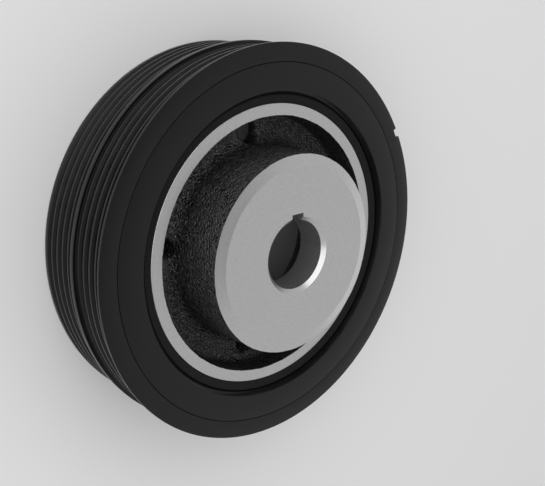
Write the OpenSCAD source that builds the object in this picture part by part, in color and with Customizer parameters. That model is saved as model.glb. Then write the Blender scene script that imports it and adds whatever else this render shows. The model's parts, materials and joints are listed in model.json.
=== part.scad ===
// Harmonic balancer: a cast hub with a machined boss and bore, a rubber ring, and a heavy inertia ring
// with two ribbed belt tracks. It lies on the rear end of the inertia ring, its front face up.
// Origin on the axis, in the plane of the rear end. The keyway lies towards +Y.

/* [Boss] */
// Bore for the crankshaft's nose
bore_d = 24.5; // [22:0.1:27]
// Length of the bore, from the boss's face to the seat behind it
bore_l = 12.4; // [11:0.1:14]
// Width of the keyway
key_w = 5; // [4:0.1:6]
// Depth of the keyway below the bore's wall
key_depth = 2.55; // [2:0.05:3.5]
// Diameter of the boss at its machined edge
boss_d = 69.9; // [66:0.1:76]
// Height of the boss's face above the front face of the inertia ring
boss_rise = 10.8; // [8:0.1:13]
// Wall between the boss's foot and the mouth of the cavity behind it
boss_wall = 9; // [7:0.1:10]

/* [Web and rim] */
// Depth of the web's front side below the front face of the inertia ring
web_depth = 13.4; // [11:0.1:15]
// Thickness of the web
web_t = 4.8; // [4:0.1:6]
// Width of the web, from the boss's foot to the rim
web_w = 10.6; // [9.5:0.1:14]
// Diameter of the cast holes through the web
web_hole_d = 8.2; // [6:0.1:9]
// Wall of the hub's rim
rim_wall = 4.2; // [3.5:0.1:5]

/* [Rubber and inertia ring] */
// Thickness of the rubber between the rim and the inertia ring
rubber_t = 3.45; // [2.5:0.05:5]
// Wall of the inertia ring, from its bore to the tops of the ribs
ring_wall = 15.4; // [12:0.1:20]
// Height of the front flange above the ribs
flange_rise = 1.4; // [0.6:0.1:3]
// Height of the middle flange above the ribs
middle_rise = 1.1; // [0.6:0.1:3]

/* [Belt tracks] */
// Pitch of the belt ribs
rib_pitch = 3.56; // [3.4:0.01:4.7]
// Depth of a belt groove
groove_depth = 2.8; // [2:0.1:3.4]
// Number of grooves in the front track
front_grooves = 4; // [3:1:6]
// Number of grooves in the rear track
rear_grooves = 5; // [4:1:7]
// Plain land behind the front track
front_land_w = 1.45; // [0.5:0.05:4]
// Plain land behind the rear track
rear_land_w = 1.91; // [1:0.01:4]

/* [Hidden] */
$fn = 128;
eps = 0.01;
reach = 4;                    // how far a cutting shape runs past what it cuts

// Radii, from the bore outwards
bore_r = bore_d / 2;
boss_r = boss_d / 2;
boss_lean = 0.5;              // how far the cast flank leans out on its way down to the web
boss_foot_r = boss_r + boss_lean;
rim_in_r = boss_foot_r + web_w;
rim_r = rim_in_r + rim_wall;
ring_in_r = rim_r + rubber_t;
rib_r = ring_in_r + ring_wall;
flange_r = rib_r + flange_rise;
middle_r = rib_r + middle_rise;

// Belt tracks: each depth is counted back from the front face of the ring
groove_angle = 40;            // between the two flanks of a groove
flank_run = tan(groove_angle / 2);
rib_top_w = 0.7;              // flat on top of a rib
groove_top_w = rib_pitch - rib_top_w;
flange_edge_w = 0.99;         // the front flange is thinnest at its edge, and the middle one too
middle_edge_w = 1.8;
front_first = flange_edge_w + flange_rise * flank_run + groove_top_w / 2;
front_last = front_first + (front_grooves - 1) * rib_pitch;
middle_front = front_last + groove_top_w / 2 + front_land_w;
rear_first = middle_front + middle_edge_w + middle_rise * flank_run + groove_top_w / 2;
rear_last = rear_first + (rear_grooves - 1) * rib_pitch;
ring_w = rear_last + groove_top_w / 2 + rear_land_w;

// Inertia ring
front_z = ring_w;             // its front face, the plane that the depths start from
mouth_chamfer = [1.1, 2];     // across and along the axis, at both ends of the ring's bore
edge_break = 0.2;
rear_break = 0.5;
line_inset = 6.4;             // fine line turned in the front face, from the edge of the flange
line_w = 0.5;
line_depth = 0.3;
notch_w = 3.8;                // timing notch in the front flange
notch_depth = 1.5;
notch_angle = 28;             // from +X, so 62 degrees from the keyway

// Rubber ring: it starts just behind the chamfer of the ring's bore, with a V of its own at each edge
rubber_step = 0.1;
rubber_recess = mouth_chamfer[1] + rubber_step;
rubber_front_z = front_z - rubber_recess;
rubber_back_z = rubber_recess;
rubber_outer_break = 0.6;
rubber_inner_break = 0.15;

// Rim and web
rim_recess = 2.9;             // the rim stands back from both ends of the inertia ring
rim_front_z = front_z - rim_recess;
rim_back_z = rim_recess;
rim_break = 0.25;
web_front_z = front_z - web_depth;
web_back_z = web_front_z - web_t;
fillet_r = 2.6;               // where the web meets the rim and the boss

// Cast holes: they run down close beside the foot of the boss, unevenly spaced
web_hole_gap = 0.15;
web_hole_circle_r = boss_foot_r + web_hole_gap + web_hole_d / 2;
web_hole_angles = [92, 172.5, 264, 355];

// Boss
face_z = front_z + boss_rise;
slope_w = 3.75;               // the edge of the face slopes down over this width
slope_drop = 0.95;
mouth_break = 1.35;           // chamfers at the two ends of the bore
seat_break = 0.6;
seat_z = face_z - bore_l;     // turned ring round the bore's rear end, the crankshaft's shoulder
seat_w = 5;
seat_r = bore_r + seat_w;
seat_lift = 1.6;              // how far the seat stands behind the roof of the cavity

// Cast cavity behind the bore: a cone with a rounded roof and a rounded mouth
cavity_lean = 4.5;            // how much wider the mouth is than the roof
cavity_top_z = seat_z + seat_lift;
cavity_mouth_r = boss_foot_r - boss_wall;
cavity_top_r = cavity_mouth_r - cavity_lean;
cavity_angle = atan2(cavity_lean, cavity_top_z - web_back_z);
// From an arc's centre to the corner of the cone that it rounds, for each unit of its radius
round_back = 1 / cos(cavity_angle) - tan(cavity_angle);
roof_fillet = min(3, (cavity_top_r - seat_r) / round_back);
cavity_mouth_round = 1.5;

// Points along an arc about c, from the angle a0 to a1
function arc(c, r, a0, a1, n = 6) =
    [for (i = [0 : n]) let (a = a0 + (a1 - a0) * i / n) c + r * [cos(a), sin(a)]];

// A quarter fillet filling the inside corner at [x, y], towards sx and sy
module corner_fill(x, y, sx, sy, r) {
    translate([x, y]) scale([sx, sy]) difference() {
        translate([-eps, -eps]) square(r + eps);
        translate([r, r]) circle(r);
    }
}

// Section of one belt groove, wide enough to cut the flanges beside it too
module groove_section(z) {
    bottom_r = rib_r - groove_depth;
    bottom_w = groove_top_w - 2 * groove_depth * flank_run;
    out_r = flange_r + reach;
    out_w = bottom_w + 2 * (out_r - bottom_r) * flank_run;
    polygon([[bottom_r, z - bottom_w / 2], [out_r, z - out_w / 2],
             [out_r, z + out_w / 2], [bottom_r, z + bottom_w / 2]]);
}

module inertia_ring_section() {
    line_r = flange_r - line_inset;
    difference() {
        polygon([
            [ring_in_r, mouth_chamfer[1]],
            [ring_in_r + mouth_chamfer[0], 0],
            [rib_r - rear_break, 0],
            [rib_r, rear_break],
            [rib_r, front_z - rear_first],
            [middle_r, front_z - rear_first],
            [middle_r, front_z - middle_front - edge_break],
            [middle_r - edge_break, front_z - middle_front],
            [rib_r, front_z - middle_front],
            [rib_r, front_z - front_first],
            [flange_r, front_z - front_first],
            [flange_r, front_z - edge_break],
            [flange_r - edge_break, front_z],
            [ring_in_r + mouth_chamfer[0], front_z],
            [ring_in_r, front_z - mouth_chamfer[1]],
        ]);
        for (i = [0 : front_grooves - 1]) groove_section(front_z - front_first - i * rib_pitch);
        for (i = [0 : rear_grooves - 1]) groove_section(front_z - rear_first - i * rib_pitch);
        polygon([[line_r, front_z - line_depth], [line_r + line_w / 2, front_z + eps],
                 [line_r - line_w / 2, front_z + eps]]);
    }
}

module inertia_ring() {
    color([0.14, 0.14, 0.14]) difference() {
        rotate_extrude() inertia_ring_section();
        rotate(notch_angle) translate([flange_r - notch_depth, -notch_w / 2, front_z - front_first])
            cube([notch_depth + reach, notch_w, front_first + reach]);
    }
}

module rubber_ring() {
    color([0.1, 0.1, 0.1]) rotate_extrude() polygon([
        [rim_r + rubber_inner_break, rim_back_z],
        [ring_in_r - rubber_outer_break, rubber_back_z],
        [ring_in_r, rubber_back_z + rubber_outer_break],
        [ring_in_r, rubber_front_z - rubber_outer_break],
        [ring_in_r - rubber_outer_break, rubber_front_z],
        [rim_r + rubber_inner_break, rim_front_z],
        [rim_r, rim_front_z - rim_break],
        [rim_r, rim_back_z + rim_break],
    ]);
}

module rim_section() {
    polygon([
        [rim_in_r, rim_back_z + rim_break],
        [rim_in_r + rim_break, rim_back_z],
        [rim_r - rim_break, rim_back_z],
        [rim_r, rim_back_z + rim_break],
        [rim_r, rim_front_z - rim_break],
        [rim_r - rim_break, rim_front_z],
        [rim_in_r + rim_break, rim_front_z],
        [rim_in_r, rim_front_z - rim_break],
    ]);
}

// The boss is solid here: the bore and the keyway are cut from the turned shape
module boss_section() {
    roof_c = [cavity_top_r - round_back * roof_fillet, cavity_top_z - roof_fillet];
    mouth_c = [cavity_mouth_r + round_back * cavity_mouth_round, web_back_z + cavity_mouth_round];
    polygon(concat(
        [[0, seat_z], [seat_r, seat_z], [seat_r, cavity_top_z]],
        arc(roof_c, roof_fillet, 90, cavity_angle),
        arc(mouth_c, cavity_mouth_round, 180 + cavity_angle, 270),
        [[boss_foot_r, web_back_z], [boss_foot_r, web_front_z + fillet_r]],
        [[boss_r, face_z - slope_drop], [boss_r - slope_w, face_z], [0, face_z]]
    ));
}

module hub_section() {
    rim_section();
    boss_section();
    translate([boss_foot_r - eps, web_back_z]) square([rim_in_r - boss_foot_r + 2 * eps, web_t]);
    corner_fill(boss_foot_r, web_front_z, 1, 1, fillet_r);
    corner_fill(rim_in_r, web_front_z, -1, 1, fillet_r);
    corner_fill(rim_in_r, web_back_z, -1, -1, fillet_r);
}

module keyway() {
    translate([-key_w / 2, 0, seat_z - reach]) cube([key_w, bore_r + key_depth, bore_l + 2 * reach]);
}

module hub() {
    color([0.62, 0.62, 0.63]) difference() {
        rotate_extrude() hub_section();
        translate([0, 0, seat_z - reach]) cylinder(r = bore_r, h = bore_l + 2 * reach);
        translate([0, 0, face_z - mouth_break])
            cylinder(r1 = bore_r, r2 = bore_r + 2 * mouth_break, h = 2 * mouth_break);
        translate([0, 0, seat_z - seat_break])
            cylinder(r1 = bore_r + 2 * seat_break, r2 = bore_r, h = 2 * seat_break);
        keyway();
        for (a = web_hole_angles) rotate(a) translate([web_hole_circle_r, 0, web_back_z - reach])
            cylinder(d = web_hole_d, h = web_t + 2 * reach);
    }
}

hub();
rubber_ring();
inertia_ring();
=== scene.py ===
# %% [markdown]
# # A harmonic balancer, cast, turned and bonded
#
# The part sits on the nose of a crankshaft and calms its twisting. It has three real pieces: a cast hub,
# a heavy ring with two belt tracks, and a ring of rubber that bonds the two. Each piece below is made the
# way its own maker makes it: the hub is cast rough and then machined, the heavy ring is turned, and the
# rubber fills the gap between them.
#
# The scene starts from a measured frame, which is the same part as plain solids. The frame is in metres,
# so one value turns the millimetres of a workshop drawing into Blender's units.

# %% Load the measured frame
import json
import math

import bmesh
import bpy
import numpy as np
from mathutils import Matrix, Vector, noise


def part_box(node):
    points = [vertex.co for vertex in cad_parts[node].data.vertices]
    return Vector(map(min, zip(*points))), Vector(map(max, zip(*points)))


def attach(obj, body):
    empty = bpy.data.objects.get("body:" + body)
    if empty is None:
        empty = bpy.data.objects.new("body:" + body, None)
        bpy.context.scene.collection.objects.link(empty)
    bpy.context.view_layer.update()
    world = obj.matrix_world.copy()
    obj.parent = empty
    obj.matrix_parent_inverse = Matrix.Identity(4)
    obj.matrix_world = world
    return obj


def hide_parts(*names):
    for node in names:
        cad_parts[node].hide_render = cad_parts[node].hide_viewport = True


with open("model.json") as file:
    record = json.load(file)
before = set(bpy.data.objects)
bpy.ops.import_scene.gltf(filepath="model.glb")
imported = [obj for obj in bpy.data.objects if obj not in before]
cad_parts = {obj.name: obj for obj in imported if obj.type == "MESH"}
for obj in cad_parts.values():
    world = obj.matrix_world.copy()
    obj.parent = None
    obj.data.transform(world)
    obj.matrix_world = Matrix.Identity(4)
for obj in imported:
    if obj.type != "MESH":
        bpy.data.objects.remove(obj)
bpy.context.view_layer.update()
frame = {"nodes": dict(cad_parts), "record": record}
mm = 0.001
print("pieces of the frame:", sorted(frame["nodes"]))

# %% [markdown]
# ## Sizes
#
# A turned part is known by its section. The outer sizes, the bore, the seat and the belt tracks come from
# the frame, so they can't drift from it. The rest of the section is given in millimetres, where a piece
# first needs it. Recesses are counted back from the front face of the ring, as on a workshop drawing.

# %% Sizes that the frame gives
mounts = {mount["name"]: mount for mount in frame["record"]["mounts"]}
flange_r, ring_w = (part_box("inertia_ring")[1][axis] / mm for axis in (0, 2))
rim_r, face_z = (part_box("hub")[1][axis] / mm for axis in (0, 2))
bore_r = mounts["crank_bore"]["dims"]["r_mm"]
seat_z = mounts["crank_seat"]["pos_m"][2] / mm
rib_r = mounts["front_belt_track"]["dims"]["r_mm"]
print(f"front flange r {flange_r:.2f}, ribs r {rib_r:.2f}, rim r {rim_r:.2f}, bore r {bore_r:.2f} mm")
print(f"ring width {ring_w:.2f}, face of the boss at {face_z:.2f}, rear seat at {seat_z:.2f} mm")

# %% Sizes where the three pieces meet
rubber_t = 3.45
rim_recess = 2.9

ring_in_r = rim_r + rubber_t
rim_front_z, rim_back_z = ring_w - rim_recess, rim_recess
print(f"rubber from r {rim_r:.2f} to {ring_in_r:.2f}, rim from z {rim_back_z:.2f} to {rim_front_z:.2f} mm")

# %% [markdown]
# ## From a section to a turned piece
#
# A lathe makes everything on it round, so one closed outline of (radius, height) points is enough for a
# piece. No tool leaves a perfectly sharp corner, and a render needs the small arc there to catch a line of
# light. A bevel modifier could round the finished mesh. Here corners are written as (radius, height,
# rounding) instead and turned into arcs first, because then each corner simply states its own rounding.

# %% Round the corners of an outline
nearly_straight = 0.01
most_of_a_side = 0.48


def rounded(corners, steps=4):
    """The outline's points, with each (radius, height, rounding) corner made into an arc."""
    points = []
    for i, (r, z, rounding) in enumerate(corners):
        corner = Vector((r, z))
        back = Vector(corners[i - 1][:2]) - corner
        ahead = Vector(corners[(i + 1) % len(corners)][:2]) - corner
        half = back.angle(ahead) / 2
        if not rounding or math.pi / 2 - half < nearly_straight:
            points.append(corner)
            continue
        reach = min(rounding / math.tan(half), most_of_a_side * min(back.length, ahead.length))
        centre = corner + (back.normalized() + ahead.normalized()).normalized() * reach / math.cos(half)
        start = corner + back.normalized() * reach - centre
        end = corner + ahead.normalized() * reach - centre
        arc = [start.slerp(end, k / steps).normalized() * start.length for k in range(steps + 1)]
        points += [centre + point for point in arc]
    return points


# %% [markdown]
# The outline is then repeated round the axis, and its points are joined into quads. Blender's Screw
# modifier can do the same from a line of edges. Doing it with arrays gives a closed mesh at once and needs
# no modifier to be applied. Where an outline lies on the axis its copies coincide, so they are merged.

# %% Turn an outline about the axis
same_point = 1e-7


def turned(name, outline, steps=256):
    """A closed mesh, turned about Z from a closed outline in millimetres."""
    angle = np.arange(steps) * 2 * np.pi / steps
    radius, height = np.array([tuple(p)[:2] for p in outline]).T * mm
    count = len(radius)
    corners = np.stack([np.outer(np.cos(angle), radius), np.outer(np.sin(angle), radius),
                        np.tile(height, (steps, 1))], axis=-1)
    here, up = np.meshgrid(np.arange(steps), np.arange(count), indexing="ij")
    beside, above = (here + 1) % steps, (up + 1) % count
    faces = np.stack([here * count + up, beside * count + up,
                      beside * count + above, here * count + above], axis=-1)
    mesh = bpy.data.meshes.new(name)
    mesh.from_pydata(corners.reshape(-1, 3).tolist(), [], faces.reshape(-1, 4).tolist())
    shape = bmesh.new()
    shape.from_mesh(mesh)
    bmesh.ops.remove_doubles(shape, verts=shape.verts, dist=same_point)
    bmesh.ops.recalc_face_normals(shape, faces=shape.faces)
    shape.to_mesh(mesh)
    shape.free()
    piece = bpy.data.objects.new(name, mesh)
    bpy.context.scene.collection.objects.link(piece)
    return piece


# %% [markdown]
# ## Cutting and shading
#
# Holes, notches and machined faces are cut with a boolean modifier, as a shop would cut them from a blank.
# The manifold solver is quick on closed meshes. With the material mode Transfer, a cut face takes the
# finish of the solid that cut it, and this is used below to keep bright metal apart from black casting.

# %% Apply modifiers, and cut one solid from another
def bake(piece):
    """Replaces the piece's mesh by what its modifiers make of it."""
    bpy.context.view_layer.update()
    made = bpy.data.meshes.new_from_object(piece.evaluated_get(bpy.context.evaluated_depsgraph_get()))
    piece.modifiers.clear()
    piece.data = made


def cut_away(piece, cutter):
    """Takes the cutter's solid out of the piece. Cut faces keep the cutter's material."""
    cut = piece.modifiers.new("cut", "BOOLEAN")
    cut.object = cutter
    cut.solver = "MANIFOLD"
    cut.material_mode = "TRANSFER"
    bake(piece)
    bpy.data.objects.remove(cutter)


# %% [markdown]
# A cut leaves slivers where its edge passes close to a point of the mesh, and slivers shade badly. They are
# cleared before the piece is shaded. Smooth shading then needs to know the real edges. An edge counts as
# one if it turns sharply enough, or if two finishes meet there. Cast skin is bumpy, so it may turn further
# than bright metal before it counts.

# %% Clear slivers and shade
sliver = 0.002 * mm


def shade(piece, creases=(32,)):
    """Clears the slivers that cuts leave, and shades the piece smooth between its creases.

    An edge is a crease if it turns by more than its material's angle, or if two materials meet there.
    """
    shape = bmesh.new()
    shape.from_mesh(piece.data)
    bmesh.ops.remove_doubles(shape, verts=shape.verts, dist=sliver)
    bmesh.ops.dissolve_degenerate(shape, edges=shape.edges, dist=sliver)
    print(piece.name, "has", sum(not edge.is_manifold for edge in shape.edges), "open edges")
    for edge in shape.edges:
        slots = {face.material_index for face in edge.link_faces}
        edge.smooth = len(slots) == 1 and edge.calc_face_angle(0) < math.radians(creases[slots.pop()])
    shape.to_mesh(piece.data)
    shape.free()
    piece.data.shade_smooth()
    piece.data.calc_loop_triangles()
    print(piece.name, "has", len(piece.data.loop_triangles), "triangles")


# %% [markdown]
# ## Materials from nodes
#
# Each finish below is a small tree of nodes. The same tree could be drawn by hand in the shader editor. In
# code it stays readable with three helpers: one adds a node with its settings, one opens a node group with
# named sockets, and one does a sum with whatever is plugged into it.

# %% Node helpers
def add(nodes, kind, inputs=None, **settings):
    """Adds a node, with its settings and the values of its inputs."""
    node = nodes.new(kind)
    for name, value in settings.items():
        setattr(node, name, value)
    for name, value in (inputs or {}).items():
        node.inputs[name].default_value = value
    return node


def new_group(name, inputs, outputs):
    """An empty node group with named number sockets, and its two end nodes."""
    group = bpy.data.node_groups.new(name, "ShaderNodeTree")
    for socket, value in inputs.items():
        made = group.interface.new_socket(socket, in_out="INPUT", socket_type="NodeSocketFloat")
        made.default_value = value
    for socket in outputs:
        group.interface.new_socket(socket, in_out="OUTPUT", socket_type="NodeSocketFloat")
    return group, group.nodes.new("NodeGroupInput"), group.nodes.new("NodeGroupOutput")


def maths(nodes, links, operation, a, b=None):
    """A Math node fed by sockets or numbers. Returns its output."""
    node = add(nodes, "ShaderNodeMath", operation=operation)
    for socket, value in zip(node.inputs, (a, b)):
        if value is None:
            continue
        if isinstance(value, (int, float)):
            socket.default_value = value
        else:
            links.new(value, socket)
    return node.outputs[0]


# %% [markdown]
# ## Turned lines
#
# A lathe tool leaves a very fine spiral. On a face the lines are rings round the axis, and on a wall they
# follow each other along it. Adding radius and height gives one coordinate that makes both at once. Height
# counts a little less, because at equal shares the two would cancel on a chamfer of 45 degrees. Machined
# and coated iron are both turned, so the effect is a node group with its pitch as an input.

# %% Turned lines as a node group
height_share = 0.8
band_scale = 0.11


def make_turned_lines():
    """Lines left by a lathe: a height, and a slow change of tone across bands of them."""
    group, start, end = new_group("turned lines", {"Pitch": 0.2 * mm}, ("Height", "Band"))
    nodes, links = group.nodes, group.links
    place = add(nodes, "ShaderNodeTexCoord")
    split = add(nodes, "ShaderNodeSeparateXYZ")
    links.new(place.outputs["Object"], split.inputs[0])
    square = [maths(nodes, links, "MULTIPLY", split.outputs[k], split.outputs[k]) for k in (0, 1)]
    radius = maths(nodes, links, "SQRT", maths(nodes, links, "ADD", *square))
    height = maths(nodes, links, "MULTIPLY", split.outputs[2], height_share)
    along = maths(nodes, links, "ADD", radius, height)
    count = maths(nodes, links, "DIVIDE", along, start.outputs["Pitch"])
    fine = add(nodes, "ShaderNodeTexNoise", {"Scale": 1.0, "Detail": 2.0}, noise_dimensions="1D")
    links.new(count, fine.inputs["W"])
    slow = add(nodes, "ShaderNodeTexNoise", {"Scale": band_scale, "Detail": 1.0}, noise_dimensions="1D")
    links.new(count, slow.inputs["W"])
    links.new(fine.outputs["Fac"], end.inputs["Height"])
    links.new(slow.outputs["Fac"], end.inputs["Band"])
    return group


turned_lines = make_turned_lines()
print("node group:", turned_lines.name, "with", len(turned_lines.nodes), "nodes")

# %% [markdown]
# ## Grain
#
# Sand leaves its grain on a casting, and a mould leaves a finer one on rubber. Both are crooked little
# ridges of mixed size, so both take this group. Folding a noise about its middle value makes the ridges:
# wherever the noise crosses the middle, the folded value has a sharp crest. A finer noise is laid over
# them, and a very slow one gives a mottle.

# %% Grain as a node group
ridge_scale, fine_scale, mottle_scale = 0.6, 1.2, 0.06
noise_middle, fold_gain = 0.5, 4.0
ridge_share, fine_share = 0.6, 0.5


def make_grain():
    """Crooked ridges of mixed size: a height, and a mottle that changes slowly over the surface."""
    group, start, end = new_group("grain", {"Size": 0.8 * mm}, ("Height", "Mottle"))
    nodes, links = group.nodes, group.links
    place = add(nodes, "ShaderNodeTexCoord")
    per_metre = maths(nodes, links, "DIVIDE", 1.0, start.outputs["Size"])
    worms = add(nodes, "ShaderNodeTexNoise", {"Detail": 1.0, "Roughness": 0.5, "Distortion": 0.5})
    fine = add(nodes, "ShaderNodeTexNoise", {"Detail": 2.0, "Roughness": 0.6})
    slow = add(nodes, "ShaderNodeTexNoise", {"Detail": 2.0})
    for node, scale in ((worms, ridge_scale), (fine, fine_scale), (slow, mottle_scale)):
        links.new(place.outputs["Object"], node.inputs["Vector"])
        links.new(maths(nodes, links, "MULTIPLY", per_metre, scale), node.inputs["Scale"])
    from_middle = maths(nodes, links, "SUBTRACT", worms.outputs["Fac"], noise_middle)
    folded = maths(nodes, links, "MULTIPLY", maths(nodes, links, "ABSOLUTE", from_middle), fold_gain)
    ridges = maths(nodes, links, "SUBTRACT", 1.0, folded)
    height = maths(nodes, links, "ADD", maths(nodes, links, "MULTIPLY", ridges, ridge_share),
                   maths(nodes, links, "MULTIPLY", fine.outputs["Fac"], fine_share))
    links.new(height, end.inputs["Height"])
    links.new(slow.outputs["Fac"], end.inputs["Mottle"])
    return group


grain = make_grain()
print("node group:", grain.name, "with", len(grain.nodes), "nodes")

# %% [markdown]
# ## Four finishes
#
# The part shows four surfaces: bright machined iron, a satin black coating over turned iron, the same black
# over rough casting, and rubber. Each is one material with a Principled shader. Numbers that are the same
# all over go on the shader itself, and the groups above only move what changes over the surface.

# %% Start a finish, and place a group in it
def grey(value):
    """A colour without any hue."""
    return (value, value, value)


def finish_of(name, colour, roughness, metallic=0.0, specular=0.5):
    """A material with a Principled shader. Returns it with its nodes, links and shader."""
    material = bpy.data.materials.new(name)
    material.use_nodes = True
    material.diffuse_color = (*colour, 1.0)
    nodes, links = material.node_tree.nodes, material.node_tree.links
    shader = nodes["Principled BSDF"]
    shader.inputs["Base Color"].default_value = (*colour, 1.0)
    shader.inputs["Roughness"].default_value = roughness
    shader.inputs["Metallic"].default_value = metallic
    shader.inputs["Specular IOR Level"].default_value = specular
    return material, nodes, links, shader


def place_group(nodes, group, **values):
    """Puts a node group into a material, with its own values."""
    placed = add(nodes, "ShaderNodeGroup", node_tree=group)
    for name, value in values.items():
        placed.inputs[name].default_value = value
    return placed


# %% [markdown]
# A noise hardly ever reaches 0 or 1. Most of it lies between 0.3 and 0.7, so that part is stretched over
# the wanted range. Bump maps are given in real depths: a Bump node with strength 1 takes its distance in
# metres, so a lathe line one thousandth of a millimetre deep can be written as just that.

# %% Let a group's value move roughness, colour or height
noise_low, noise_high = 0.3, 0.7


def vary(nodes, links, source, target, low, high):
    """Lets a noise move a number on the shader between two values."""
    span = add(nodes, "ShaderNodeMapRange",
               {"From Min": noise_low, "From Max": noise_high, "To Min": low, "To Max": high})
    links.new(source, span.inputs["Value"])
    links.new(span.outputs["Result"], target)


def tint(nodes, links, source, target, dark, light, between=(0.0, 1.0)):
    """Lets a source fade from a dark colour to a light one, while it rises between two values."""
    mix = add(nodes, "ShaderNodeMix", data_type="RGBA")
    mix.inputs["A"].default_value = (*dark, 1.0)
    mix.inputs["B"].default_value = (*light, 1.0)
    share = add(nodes, "ShaderNodeMapRange", {"From Min": between[0], "From Max": between[1]})
    links.new(source, share.inputs["Value"])
    links.new(share.outputs["Result"], mix.inputs["Factor"])
    links.new(mix.outputs["Result"], target)


def raise_by(nodes, links, height, shader, depth, normal=None):
    """Bumps the shader's normal by a height of the given depth in metres."""
    bump = add(nodes, "ShaderNodeBump", {"Distance": depth, "Strength": 1.0})
    links.new(height, bump.inputs["Height"])
    if normal:
        links.new(normal, bump.inputs["Normal"])
    links.new(bump.outputs["Normal"], shader.inputs["Normal"])
    return bump.outputs["Normal"]


# %% [markdown]
# ### Machined iron
#
# The rim, the boss, the bore and the seat are turned and left bare. The metal is bright but not polished,
# because the tool's lines spread its reflections. Modelling the lines would take far too many faces, and
# they are finer than a pixel anyway. So they are a very shallow bump, and their bands move the roughness.

# %% Make the machined iron
def machined_iron():
    """Bare iron as a lathe leaves it, a little speckled."""
    material, nodes, links, shader = finish_of("machined_iron", grey(0.58), roughness=0.28, metallic=0.88)
    lines = place_group(nodes, turned_lines, Pitch=0.16 * mm)
    specks = place_group(nodes, grain, Size=0.5 * mm)
    tint(nodes, links, specks.outputs["Height"], shader.inputs["Base Color"],
         dark=(0.53, 0.53, 0.535), light=grey(0.63))
    vary(nodes, links, lines.outputs["Band"], shader.inputs["Roughness"], low=0.27, high=0.3)
    raise_by(nodes, links, lines.outputs["Height"], shader, depth=0.001 * mm)
    return material


machined = machined_iron()
print("finish:", machined.name)

# %% [markdown]
# ### Satin black coating on turned iron
#
# The whole ring wears a thin black coating that lets the turned lines show through. It is almost black in
# itself, so what is seen of it is its reflections. A rough coating would spread the lamp over the sides of
# the grooves and grey them. A smoother one keeps them black and draws a thin bright line on each crest.

# %% Make the coating
def coated_iron():
    """A thin satin coating over lathe lines, with a faint skin of its own."""
    material, nodes, links, shader = finish_of("coated_iron", (0.0036, 0.0036, 0.0037), roughness=0.23,
                                               specular=0.35)
    lines = place_group(nodes, turned_lines, Pitch=0.22 * mm)
    specks = place_group(nodes, grain, Size=0.35 * mm)
    tint(nodes, links, specks.outputs["Mottle"], shader.inputs["Base Color"],
         dark=(0.003, 0.003, 0.0031), light=(0.0042, 0.0042, 0.0043))
    vary(nodes, links, specks.outputs["Mottle"], shader.inputs["Roughness"], low=0.2, high=0.26)
    first = raise_by(nodes, links, lines.outputs["Height"], shader, depth=0.004 * mm)
    raise_by(nodes, links, specks.outputs["Height"], shader, depth=0.003 * mm, normal=first)
    return material


coated = coated_iron()
print("finish:", coated.name)

# %% [markdown]
# ### Rough casting
#
# Where the hub isn't machined, the black lies on the skin that the sand left. Such a skin glitters, since
# each small facet mirrors the light on its own. That takes a deep bump with a shiny surface, not a rough
# one. The colour is also painted lighter on the crests, as painted glints, and darker in the hollows between
# them, as dirt and painted shade.

# %% Make the casting's finish
def cast_iron():
    """Black iron with the grain of the sand that it was cast in."""
    material, nodes, links, shader = finish_of("cast_iron", grey(0.012), roughness=0.28, specular=1.0)
    ridges = place_group(nodes, grain, Size=0.68 * mm)
    # Painted glints: the crests of the grain are coloured lighter. Painted shade, with some dirt: the hollows
    # are coloured darker.
    tint(nodes, links, ridges.outputs["Height"], shader.inputs["Base Color"],
         dark=grey(0.001), light=grey(0.03), between=(0.45, 0.95))
    vary(nodes, links, ridges.outputs["Mottle"], shader.inputs["Roughness"], low=0.24, high=0.32)
    raise_by(nodes, links, ridges.outputs["Height"], shader, depth=0.55 * mm)
    return material


cast = cast_iron()
print("finish:", cast.name)

# %% [markdown]
# ### Moulded rubber
#
# The rubber is the dullest of the four. It is rough, it reflects little, and its skin has only the fine
# grain of its mould. It takes the same grain group as the casting, at less than half the size.

# %% Make the rubber's finish
def moulded_rubber():
    """Dull black rubber with a fine skin."""
    material, nodes, links, shader = finish_of("moulded_rubber", grey(0.009), roughness=0.72, specular=0.22)
    skin = place_group(nodes, grain, Size=0.3 * mm)
    tint(nodes, links, skin.outputs["Mottle"], shader.inputs["Base Color"],
         dark=grey(0.0075), light=grey(0.0105))
    vary(nodes, links, skin.outputs["Mottle"], shader.inputs["Roughness"], low=0.66, high=0.8)
    raise_by(nodes, links, skin.outputs["Height"], shader, depth=0.006 * mm)
    return material


rubber = moulded_rubber()
print("finish:", rubber.name)

# %% [markdown]
# ## The inertia ring
#
# The ring is one heavy turning. Its outline runs up the outside, over the rear track, the middle flange,
# the front track and the front flange, then in across the front face and back down the bore. The grooves
# repeat at the belt's pitch, so a loop adds four corners for each, and only the flanges interrupt it. The
# number of grooves follows from the width of the track in the frame.

# %% Outline of the belt side
rib_pitch = 3.56
rib_top_w = 0.7
groove_depth = 2.8
groove_half_angle = 20
crest_rounding, foot_rounding = 0.2, 0.18

flank_run = math.tan(math.radians(groove_half_angle))
groove_top_w = rib_pitch - rib_top_w
groove_foot_w = groove_top_w - 2 * groove_depth * flank_run


def track(mount_name):
    """The heights of a track's grooves, from the rearmost to the foremost, as its mount gives them."""
    middle = mounts[mount_name]["pos_m"][2] / mm
    width = mounts[mount_name]["dims"]["length_mm"]
    count = round((width - groove_top_w) / rib_pitch) + 1
    return [middle + (k - (count - 1) / 2) * rib_pitch for k in range(count)]


def groove(z, front_rise=0.0):
    """Corners of one groove, from its rear edge to its front edge, which may run up a flange."""
    return [(rib_r, z - groove_top_w / 2, crest_rounding),
            (rib_r - groove_depth, z - groove_foot_w / 2, foot_rounding),
            (rib_r - groove_depth, z + groove_foot_w / 2, foot_rounding),
            (rib_r + front_rise, z + groove_top_w / 2 + front_rise * flank_run, crest_rounding)]


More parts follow.
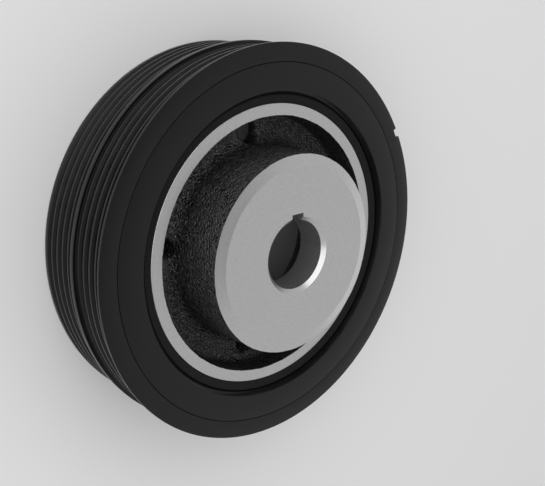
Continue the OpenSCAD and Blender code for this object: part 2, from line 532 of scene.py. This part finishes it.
rear_track, front_track = track("rear_belt_track"), track("front_belt_track")
print("grooves:", len(front_track), "in the front track and", len(rear_track), "in the rear one")
print(f"a groove is {groove_top_w:.2f} mm wide at its top and {groove_foot_w:.2f} mm at its foot")

# %% [markdown]
# The front face carries one fine turned line, and its bore opens in a chamfered mouth. The roundings are
# small but not zero: they are what draws the thin bright edges of the flanges.

# %% Outline of the whole ring
middle_rise = 1.1
front_land_w, land_rounding = 1.45, 0.1
flange_edge = 0.2
rear_break, rear_rounding = 0.5, 0.2
mouth_across, mouth_along, mouth_rounding = 1.1, 2.0, 0.15
line_from_edge, line_w, line_depth = 6.4, 0.3, 0.35
line_rounding, line_foot_rounding = 0.03, 0.02

line_r = flange_r - line_from_edge
middle_r = rib_r + middle_rise
middle_front_z = front_track[0] - groove_top_w / 2 - front_land_w
ring_corners = [(ring_in_r, mouth_along, mouth_rounding), (ring_in_r + mouth_across, 0, mouth_rounding),
                (rib_r - rear_break, 0, rear_rounding), (rib_r, rear_break, rear_rounding)]
for z in rear_track:
    ring_corners += groove(z, middle_rise if z == rear_track[-1] else 0.0)
ring_corners += [(middle_r, middle_front_z, flange_edge), (rib_r, middle_front_z, land_rounding)]
for z in front_track:
    ring_corners += groove(z, flange_r - rib_r if z == front_track[-1] else 0.0)
ring_corners += [(flange_r, ring_w, flange_edge),
                 (line_r + line_w / 2, ring_w, line_rounding),
                 (line_r, ring_w - line_depth, line_foot_rounding),
                 (line_r - line_w / 2, ring_w, line_rounding),
                 (ring_in_r + mouth_across, ring_w, mouth_rounding),
                 (ring_in_r, ring_w - mouth_along, mouth_rounding)]
print("corners in the ring's outline:", len(ring_corners))

# %% [markdown]
# The timing notch is milled across the front flange after turning. It is cut as a real milling cutter
# would do it, by taking a block out of the turned ring. The block overshoots the ring, because a boolean
# is only safe where no two faces coincide.

# %% Turn the ring and mill the notch
notch_w, notch_depth, notch_angle = 3.8, 1.5, 28
notch_back_z = front_track[-1]
overshoot = 4


def block(name, low, high, angle=0.0):
    """A cutter with square corners between two corners in millimetres, turned about the axis."""
    mesh = bpy.data.meshes.new(name)
    shape = bmesh.new()
    bmesh.ops.create_cube(shape, size=1.0)
    for vert in shape.verts:
        vert.co = Vector([(a + b) / 2 + (b - a) * c for a, b, c in zip(low, high, vert.co)]) * mm
    shape.to_mesh(mesh)
    shape.free()
    cutter = bpy.data.objects.new(name, mesh)
    cutter.rotation_euler.z = math.radians(angle)
    bpy.context.scene.collection.objects.link(cutter)
    return cutter


inertia_ring = turned("inertia_ring_turned", rounded(ring_corners), steps=320)
cut_away(inertia_ring, block("notch_cutter", (flange_r - notch_depth, -notch_w / 2, notch_back_z),
                             (flange_r + overshoot, notch_w / 2, ring_w + overshoot), notch_angle))
inertia_ring.data.materials.clear()
inertia_ring.data.materials.append(coated)
shade(inertia_ring)
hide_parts("inertia_ring")
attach(inertia_ring, "root")

# %% [markdown]
# ## The rubber ring
#
# Rubber is pressed into the gap and swells a little, so its two ends aren't flat. Each one is a shallow
# hump that dives into a narrow V against the rim and a wider one against the ring. Half a sine wave is
# enough for the hump. The V's are real shapes and not bumps, because their shadows outline the rubber.

# %% Outline and turning of the rubber
recess_in_mouth = 0.1
outer_v = 0.6
inner_v_w, inner_v_depth = 0.3, 0.45
hump, hump_steps = 0.12, 12

rubber_recess = mouth_along + recess_in_mouth


def rubber_end(z_rim, z_ring, away):
    """Points across one end of the rubber, from the rim out to the ring. away is +1 in front, -1 behind."""
    first, last = rim_r + inner_v_w, ring_in_r - outer_v
    points = [(rim_r, z_rim - away * inner_v_depth), (first, z_rim)]
    for k in range(1, hump_steps):
        share = k / hump_steps
        level = z_rim + (z_ring - z_rim) * share + away * hump * math.sin(math.pi * share)
        points.append((first + (last - first) * share, level))
    return points + [(last, z_ring), (ring_in_r, z_ring - away * outer_v)]


front_end = rubber_end(rim_front_z, ring_w - rubber_recess, 1)
rear_end = rubber_end(rim_back_z, rubber_recess, -1)
rubber_ring = turned("rubber_ring_moulded", front_end + rear_end[::-1], steps=256)
rubber_ring.data.materials.append(rubber)
shade(rubber_ring)
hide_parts("rubber_ring")
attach(rubber_ring, "root")

# %% [markdown]
# ## The hub, first as a casting
#
# The hub is a bowl with a boss in its middle: a rim outside, a web across it, and a cone-shaped cavity
# behind the boss that saves iron. A foundry pours it a little too big wherever it will be machined. So the
# casting below has an allowance on its rim, its boss and its seat, and wide fillets where iron has to flow.

# %% Sizes of the hub
rim_wall = 4.2
web_depth, web_t = 13.4, 4.8
boss_r, boss_lean = 34.95, 0.5
slope_w, slope_drop = 3.75, 0.95
boss_wall, cavity_lean = 9, 4.5
seat_w, seat_lift = 5, 1.6

rim_in_r = rim_r - rim_wall
web_front_z = ring_w - web_depth
web_back_z = web_front_z - web_t
boss_foot_r = boss_r + boss_lean
cavity_mouth_r = boss_foot_r - boss_wall
cavity_top_r = cavity_mouth_r - cavity_lean
cavity_top_z = seat_z + seat_lift
seat_r = bore_r + seat_w
print(f"web from z {web_back_z:.2f} to {web_front_z:.2f}, rim inside r {rim_in_r:.2f} mm")
print(f"boss r {boss_r:.2f} at its face and {boss_foot_r:.2f} at its foot, seat r {seat_r:.2f} mm")

# %% Pour the casting
allowance = 0.6
rim_fillet, boss_fillet = 2.6, 4.8
cavity_corner, cavity_fillet, cavity_lip = 0.5, 3, 1.5

casting_corners = [
    (bore_r - allowance, seat_z - allowance, 0), (seat_r, seat_z - allowance, 0),
    (seat_r, cavity_top_z, cavity_corner), (cavity_top_r, cavity_top_z, cavity_fillet),
    (cavity_mouth_r, web_back_z, cavity_lip),
    (rim_in_r, web_back_z, rim_fillet), (rim_in_r, rim_back_z - allowance, 0),
    (rim_r + allowance, rim_back_z - allowance, 0), (rim_r + allowance, rim_front_z + allowance, 0),
    (rim_in_r, rim_front_z + allowance, 0), (rim_in_r, web_front_z, rim_fillet),
    (boss_foot_r, web_front_z, boss_fillet), (boss_r, face_z - slope_drop, 0),
    (boss_r, face_z + allowance, 0), (bore_r - allowance, face_z + allowance, 0)]
hub = turned("hub_cast_and_machined", rounded(casting_corners, steps=8))
print("poured:", len(hub.data.polygons), "faces")

# %% [markdown]
# The four holes in the web are cored, not drilled: a plug of sand keeps the iron out. They stand as close
# to the boss as they can. They are cut before the casting gets its skin, so that their edges soften with it.

# %% Core the holes of the web
web_hole_d, web_hole_gap = 8.2, 0.15
web_hole_angles = (92, 172.5, 264, 355)

web_hole_circle_r = boss_foot_r + web_hole_gap + web_hole_d / 2
for angle in web_hole_angles:
    core = turned("core", [(0, web_back_z - overshoot), (web_hole_d / 2, web_back_z - overshoot),
                           (web_hole_d / 2, web_front_z + overshoot), (0, web_front_z + overshoot)], steps=64)
    turn = math.radians(angle)
    core.location = Vector((math.cos(turn), math.sin(turn), 0)) * web_hole_circle_r * mm
    cut_away(hub, core)
print("cored:", len(web_hole_angles), f"holes on a circle of r {web_hole_circle_r:.2f} mm")

# %% [markdown]
# Sand never leaves a true surface. A voxel remesh turns the casting into one even skin of small faces, a
# few passes of smoothing melt its corners, and a noise pushes the skin in and out by about a tenth of a
# millimetre. A displace modifier with a texture could do the last step too. On arrays the depth is a plain
# number, and what it did can be printed.

# %% Give the casting its skin
voxel = 0.7
smoothing, smoothing_passes = 0.5, 4
sand_depth, sand_size = 0.09, 2.4
sand_fade, sand_step, sand_layers = 0.7, 2.0, 3

skin = hub.modifiers.new("skin", "REMESH")
skin.mode, skin.voxel_size = "VOXEL", voxel * mm
soft = hub.modifiers.new("soft corners", "SMOOTH")
soft.factor, soft.iterations = smoothing, smoothing_passes
bake(hub)

# All normals are read before any point moves. A move would have Blender work them out again each time.
point_at, normal_at = np.empty((2, len(hub.data.vertices), 3))
hub.data.vertices.foreach_get("co", point_at.ravel())
hub.data.vertices.foreach_get("normal", normal_at.ravel())
sand = np.array([noise.fractal(Vector(point) / (sand_size * mm), sand_fade, sand_step, sand_layers)
                 for point in point_at])
point_at += normal_at * sand[:, None] * sand_depth * mm
print(f"sand moves the skin by {sand.min() * sand_depth:.2f} to {sand.max() * sand_depth:.2f} mm")

# %% [markdown]
# The web isn't flat. Round each hole the pattern left it a little thicker, and between the holes it sinks to
# a soft hollow. Each hole adds a bell curve round the axis, and wherever that is low the skin sinks. The
# effect fades in through the web's thickness and out towards the rim's front edge, so the rear stays flat.

# %% Sink the hollows of the web
hollow_depth, pad_spread = 1.6, 18
still_over_back, full_under_front = 1.5, 0.5

around = np.degrees(np.arctan2(point_at[:, 1], point_at[:, 0]))
from_holes = [(around - angle + 180) % 360 - 180 for angle in web_hole_angles]
pads = sum(np.exp(-(off / pad_spread) ** 2) for off in from_holes)
fade_z = (web_back_z + still_over_back, web_front_z - full_under_front,
          web_front_z + boss_fillet, rim_front_z)
taking_part = np.interp(point_at[:, 2] / mm, fade_z, (0, 1, 1, 0))
point_at[:, 2] -= (1 - pads) * taking_part * hollow_depth * mm
hub.data.vertices.foreach_set("co", point_at.ravel())
hub.data.update()
hub.data.materials.clear()
hub.data.materials.append(cast)
hub.data.materials.append(machined)
print("casting:", len(hub.data.polygons), "faces")

# %% [markdown]
# ## The hub, then machined
#
# Now the lathe takes off the allowances. Each cutter below is the space that a tool sweeps. It carries the
# bright finish, and a cut face keeps the finish of its cutter, so the border between black casting and
# bright metal lies exactly where the tool stopped and wanders with the casting, as on the real part.

# %% Turn the boss, the rim and the seat
rim_break = 0.1
over = 3 * allowance
slope = slope_drop / slope_w


def machine(outline):
    """Takes a turned space out of the hub and leaves its wall bright."""
    tool = turned("tool", outline)
    tool.data.materials.append(machined)
    cut_away(hub, tool)


machine([(0, face_z), (boss_r - slope_w, face_z), (boss_r, face_z - slope_drop),
         (boss_r + over, face_z - slope_drop - over * slope),
         (boss_r + over, face_z + over), (0, face_z + over)])
machine([(rim_in_r - over, rim_front_z - over - rim_break), (rim_in_r + rim_break, rim_front_z),
         (rim_r - rim_break, rim_front_z), (rim_r, rim_front_z - rim_break),
         (rim_r, rim_back_z + rim_break), (rim_r - rim_break, rim_back_z),
         (rim_in_r + rim_break, rim_back_z), (rim_in_r - over, rim_back_z + over + rim_break),
         (rim_in_r - over, rim_back_z - over), (rim_r + over, rim_back_z - over),
         (rim_r + over, rim_front_z + over), (rim_in_r - over, rim_front_z + over)])
machine([(0, seat_z - over), (seat_r + over, seat_z - over), (seat_r + over, seat_z), (0, seat_z)])
print("turned:", len(hub.data.polygons), "faces")

# %% [markdown]
# The bore is turned last, with a wide chamfer in front and a small one at the seat. Then a broach, which is
# a straight bar with teeth, is pulled through and cuts the keyway. Its path has one section from end to
# end, so here it is a plain block.

# %% Bore the hub and broach the keyway
mouth_break, seat_break = 1.35, 0.6
key_w, key_depth = 5, 2.55

machine([(0, seat_z - over), (bore_r + seat_break + over, seat_z - over), (bore_r, seat_z + seat_break),
         (bore_r, face_z - mouth_break), (bore_r + mouth_break + over, face_z + over), (0, face_z + over)])
broach = block("broach", (-key_w / 2, 0, seat_z - over), (key_w / 2, bore_r + key_depth, face_z + over))
broach.data.materials.append(machined)
cut_away(hub, broach)
shade(hub, creases=(50, 6))
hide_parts("hub")
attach(hub, "root")

# %% [markdown]
# ## Floor, light and camera
#
# A part that could roll is laid on its end, so the balancer lies on its back with its face up. The floor
# is plain and pale. It is part of the light too, because black coating and bright metal both mirror it.

# %% Floor
floor_colour = grey(0.88)
floor_gap = 0.02


def pale_floor(radius=3.0):
    """A large round floor that the part lies on. It is a hair lower, so that no two faces coincide."""
    mesh = bpy.data.meshes.new("floor")
    shape = bmesh.new()
    bmesh.ops.create_circle(shape, cap_ends=True, segments=96, radius=radius)
    bmesh.ops.translate(shape, verts=shape.verts, vec=(0, 0, -floor_gap * mm))
    shape.to_mesh(mesh)
    shape.free()
    material, *_ = finish_of("floor_paint", floor_colour, roughness=0.9, specular=0.1)
    mesh.materials.append(material)
    floor = bpy.data.objects.new("floor", mesh)
    bpy.context.scene.collection.objects.link(floor)
    return floor


floor = pale_floor()
print("floor:", [round(size, 2) for size in floor.dimensions], "m")

# %% [markdown]
# One large soft lamp stands behind the camera. Its size matters more than its power: a small lamp would
# burn white spots into the chamfers, and a large one spreads the same light into calm gradients. A small
# weak lamp low on the far side keeps the dark flanks there from closing up.

# %% Lamps
def softbox(name, azimuth, elevation, distance, width, height, power):
    """A flat lamp that faces the part. Azimuth is measured from +X towards +Y."""
    lamp = bpy.data.lights.new(name, "AREA")
    lamp.shape = "RECTANGLE"
    lamp.size, lamp.size_y = width, height
    lamp.energy = power
    holder = bpy.data.objects.new(name, lamp)
    turn, lift = math.radians(azimuth), math.radians(elevation)
    way = Vector((math.cos(turn) * math.cos(lift), math.sin(turn) * math.cos(lift), math.sin(lift)))
    holder.location = way * distance
    holder.rotation_euler = (-way).to_track_quat("-Z", "Y").to_euler()
    bpy.context.scene.collection.objects.link(holder)
    print(f"lamp: {name}, {width} x {height} m, {power} W, {distance} m away")


softbox("key", azimuth=140, elevation=38, distance=1.4, width=3.4, height=1.5, power=18.0)
softbox("far side", azimuth=340, elevation=14, distance=1.0, width=0.7, height=0.4, power=0.2)

# %% [markdown]
# Metal shows what is around it, so the world is part of the picture. Here it is an even grey room, which
# fades to a darker ceiling straight overhead. The sides of the grooves that look forward mirror that
# ceiling, and it helps to keep them black.

# %% Room
fade_from = 0.76


def grey_room(around, overhead):
    """A plain grey room. It is even all round, and darker straight overhead."""
    world = bpy.data.worlds.new("studio")
    world.use_nodes = True
    nodes, links = world.node_tree.nodes, world.node_tree.links
    nodes["Background"].inputs["Color"].default_value = (1.0, 1.0, 1.0, 1.0)
    place = add(nodes, "ShaderNodeTexCoord")
    split = add(nodes, "ShaderNodeSeparateXYZ")
    fade = add(nodes, "ShaderNodeMapRange", {"From Min": fade_from, "To Min": around, "To Max": overhead},
               interpolation_type="SMOOTHSTEP")
    links.new(place.outputs["Generated"], split.inputs[0])
    links.new(split.outputs["Z"], fade.inputs["Value"])
    links.new(fade.outputs["Result"], nodes["Background"].inputs["Strength"])
    bpy.context.scene.world = world
    print(f"room: {around} all round, {overhead} overhead")


grey_room(around=0.6, overhead=0.32)

# %% [markdown]
# The camera keeps the photograph's direction to the front of the part. The part lies down here, so the
# camera looks down at it, and it is rolled until the keyway points up in the picture. Its matrix is built
# from three axes: forward to the aim, right, and up. The lens and the distance give the photograph's
# perspective, which shows in how fast the grooves shrink towards the rear.

# %% Camera
camera_azimuth, camera_reach, camera_height = 153.0, 200.5, 240.7
aim_x, aim_y = -2.1, 2.4
picture_up = 89.4
lens, sensor_w = 53.69, 36.0
nearest = 0.01

turn = math.radians(camera_azimuth)
camera = bpy.data.objects.new("camera", bpy.data.cameras.new("camera"))
camera.data.lens, camera.data.sensor_width = lens, sensor_w
camera.data.clip_start = nearest
camera_at = Vector((math.cos(turn) * camera_reach, math.sin(turn) * camera_reach, camera_height)) * mm
forward = (Vector((aim_x, aim_y, ring_w)) * mm - camera_at).normalized()
up_hint = Vector((math.cos(math.radians(picture_up)), math.sin(math.radians(picture_up)), 0))
right = forward.cross(up_hint).normalized()
axes = Matrix((right, right.cross(forward), -forward)).transposed()
camera.matrix_world = Matrix.Translation(camera_at) @ axes.to_4x4()
bpy.context.scene.collection.objects.link(camera)
bpy.context.scene.camera = camera
bpy.context.scene.view_settings.view_transform = "Standard"
print("camera at", [round(v / mm, 1) for v in camera_at], "mm")
